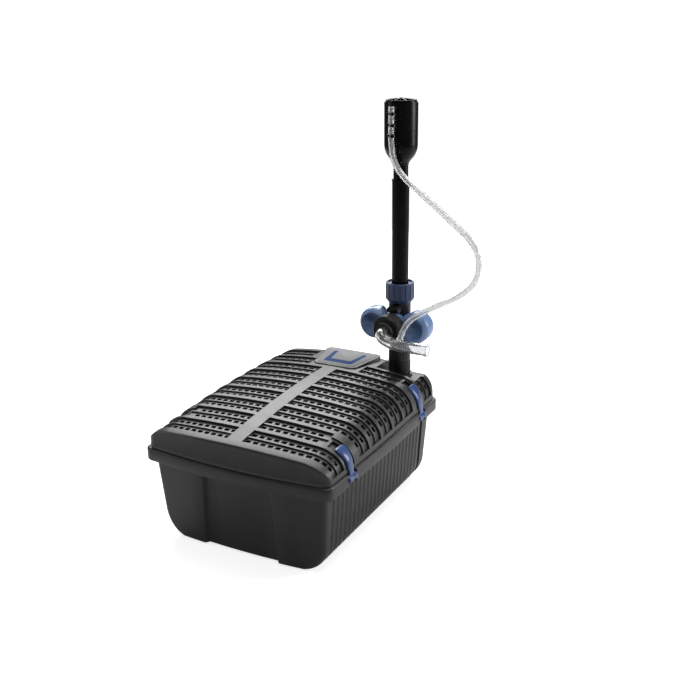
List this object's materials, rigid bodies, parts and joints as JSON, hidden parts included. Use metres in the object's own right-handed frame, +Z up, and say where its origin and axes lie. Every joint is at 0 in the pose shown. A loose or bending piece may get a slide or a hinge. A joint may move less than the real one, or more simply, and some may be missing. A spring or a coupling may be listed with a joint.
{
  "type": "submersible pond filter",
  "caption": "Submersible pond filter: clipped tub with slotted crowned lid, inner pump and UV clarifier, telescopic fountain riser, flow regulator, clear outlet and air hose.",
  "frame": {"origin": "under the middle of the tub, on the ground plane", "axes": "+Z up, -Y towards the plain front end, the riser stands at the right rear (+X, +Y)"},
  "size_m": [0.4061, 0.3778, 0.608],
  "materials": {
    "tub_black": "fine moulded texture, satin",
    "lid_black": "fine moulded texture, satin",
    "riser_black": "satin",
    "tube_black": "extruded, semi-gloss",
    "nozzle_black": "semi-gloss",
    "inner_black": "matt",
    "clip_blue": "moulded, semi-gloss",
    "regulator_blue": "moulded, semi-gloss",
    "nut_blue": "moulded, semi-gloss",
    "label_white": "gloss",
    "label_blue": "gloss",
    "clear_acrylic": "clear, gloss",
    "clear_hose": "clear flexible PVC, gloss",
    "rubber_black": "matt",
    "pin_steel": "turned",
    "ceramic_white": "fired",
    "quartz": "polished",
    "lamp_glass": "polished",
    "foam_blue": "open-cell foam",
    "foam_red": "open-cell foam",
    "media_grey": "porous",
    "magnet_grey": "moulded over"
  },
  "bodies": {
    "tub": {"base_tub": "tub_black", "tub_feet": "rubber_black", "rim_seal": "rubber_black", "clip_pins": "pin_steel", "pump_housing": "inner_black", "pump_volute": "inner_black", "outlet_duct": "inner_black", "pump_shaft": "ceramic_white", "shaft_bearings": "ceramic_white", "pump_screws": "pin_steel", "uvc_housing": "inner_black", "uvc_cap": "inner_black", "quartz_sleeve": "quartz", "uv_lamp": "lamp_glass", "lamp_socket": "ceramic_white", "sleeve_seal": "rubber_black", "coarse_foam": "foam_blue", "fine_foam": "foam_red", "media_tray": "inner_black", "ceramic_media": "media_grey", "gland_body": "inner_black", "gland_nut": "inner_black"},
    "lid": {"lid_shell": "lid_black", "label_plate": "label_white", "label_inlay": "label_blue", "riser_socket": "riser_black", "socket_seal": "rubber_black"},
    "clip_fr": {"clip_front_right": "clip_blue"},
    "clip_fl": {"clip_front_left": "clip_blue"},
    "clip_rr": {"clip_rear_right": "clip_blue"},
    "clip_rl": {"clip_rear_left": "clip_blue"},
    "riser": {"riser_body": "riser_black", "union_collar": "riser_black", "outlet_housing": "riser_black", "outlet_ring": "riser_black", "venturi_tube": "clear_acrylic", "hose_barb": "clear_acrylic", "air_hose": "clear_hose"},
    "regulator": {"regulator_wing": "regulator_blue", "valve_disc": "inner_black"},
    "nut": {"clamp_nut": "nut_blue"},
    "telescope": {"telescope_tube": "tube_black", "tube_top_ring": "tube_black", "nozzle_body": "nozzle_black", "nozzle_cap": "nozzle_black", "jet_insert": "inner_black", "hose_clips": "nozzle_black"},
    "rotor": {"rotor_magnet": "magnet_grey", "impeller": "inner_black"}
  },
  "joints": [
    {"name": "lid_lift", "type": "slide", "parent": "tub", "child": "lid", "axis": [0, 0, 1], "range_m": [0, 0.06]},
    {"name": "clip_fr_open", "type": "hinge", "parent": "tub", "child": "clip_fr", "pos_m": [0.1495, -0.117, 0.131], "axis": [0, 1, 0], "range_deg": [0, 110]},
    {"name": "clip_fl_open", "type": "hinge", "parent": "tub", "child": "clip_fl", "pos_m": [-0.1495, -0.117, 0.131], "axis": [0, -1, 0], "range_deg": [0, 110]},
    {"name": "clip_rr_open", "type": "hinge", "parent": "tub", "child": "clip_rr", "pos_m": [0.1495, 0.115, 0.131], "axis": [0, 1, 0], "range_deg": [0, 110]},
    {"name": "clip_rl_open", "type": "hinge", "parent": "tub", "child": "clip_rl", "pos_m": [-0.1495, 0.115, 0.131], "axis": [0, -1, 0], "range_deg": [0, 110]},
    {"name": "riser_swivel", "type": "hinge", "parent": "lid", "child": "riser", "pos_m": [0.092, 0.158, 0.21], "axis": [0, 0, 1], "range_deg": [-60, 60]},
    {"name": "regulator_turn", "type": "hinge", "parent": "riser", "child": "regulator", "pos_m": [0.092, 0.13, 0.265], "axis": [0, -1, 0], "range_deg": [-18, 18]},
    {"name": "nut_turn", "type": "hinge", "parent": "riser", "child": "nut", "pos_m": [0.092, 0.158, 0.315], "axis": [0, 0, 1], "range_deg": [0, 270]},
    {"name": "telescope_slide", "type": "slide", "parent": "riser", "child": "telescope", "axis": [0, 0, 1], "range_m": [-0.1, 0], "deforming": ["air_hose"]},
    {"name": "rotor_spin", "type": "hinge", "parent": "tub", "child": "rotor", "pos_m": [0.075, 0.092, 0.052], "axis": [1, 0, 0], "continuous": true}
  ],
  "couplings": [
    {"joint": "clip_fr_open", "follows": "lid_lift", "rad_per_m": 31.998},
    {"joint": "clip_fl_open", "follows": "lid_lift", "rad_per_m": 31.998},
    {"joint": "clip_rr_open", "follows": "lid_lift", "rad_per_m": 31.998},
    {"joint": "clip_rl_open", "follows": "lid_lift", "rad_per_m": 31.998}
  ]
}
